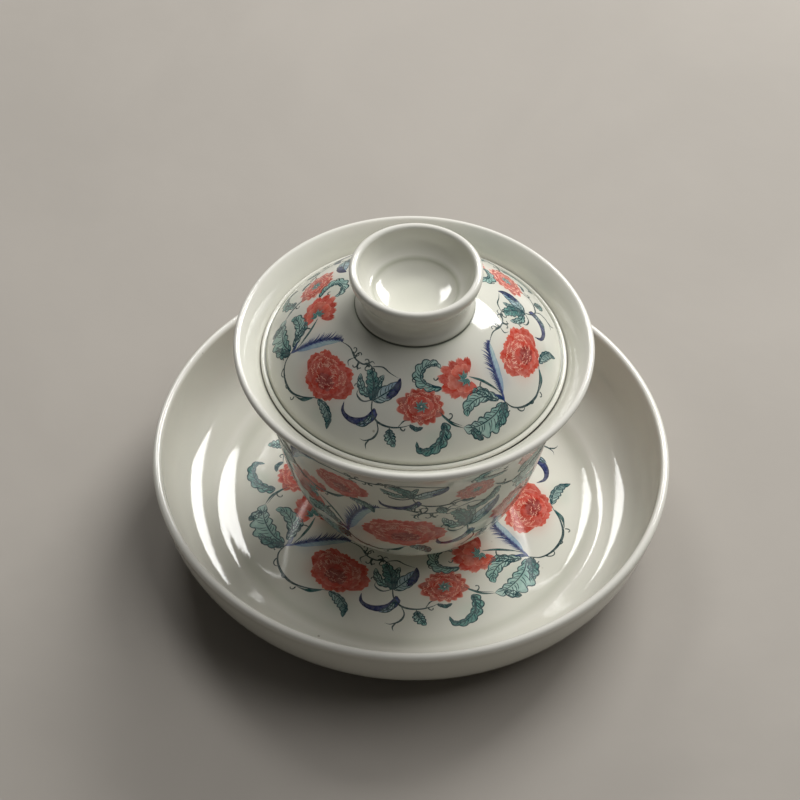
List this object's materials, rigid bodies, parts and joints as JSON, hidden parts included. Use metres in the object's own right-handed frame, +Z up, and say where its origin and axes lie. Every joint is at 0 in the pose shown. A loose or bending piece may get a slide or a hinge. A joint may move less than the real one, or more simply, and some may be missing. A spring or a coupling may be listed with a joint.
{
  "type": "gaiwan",
  "caption": "Lidded porcelain tea bowl on a deep saucer, with painted flower scrolls; the lid and the bowl lift off for brewing and pouring.",
  "frame": {"origin": "centre of the saucer's foot ring, on the surface that it stands on", "axes": "+Z up, along the common axis that all three pieces are turned about; X and Y are alike"},
  "size_m": [0.146, 0.146, 0.0985],
  "materials": {
    "glaze": "gloss",
    "coral_enamel": "gloss",
    "green_enamel": "gloss",
    "indigo_enamel": "gloss",
    "outline_enamel": "gloss"
  },
  "bodies": {
    "saucer": {"saucer": "glaze"},
    "bowl": {"bowl": "glaze"},
    "lid": {"lid": "glaze"}
  },
  "joints": [
    {"name": "bowl_lift", "type": "slide", "parent": "saucer", "child": "bowl", "axis": [0, 0, 1], "range_m": [0, 0.08]},
    {"name": "lid_lift", "type": "slide", "parent": "bowl", "child": "lid", "axis": [0, 0, 1], "range_m": [0, 0.08]}
  ]
}
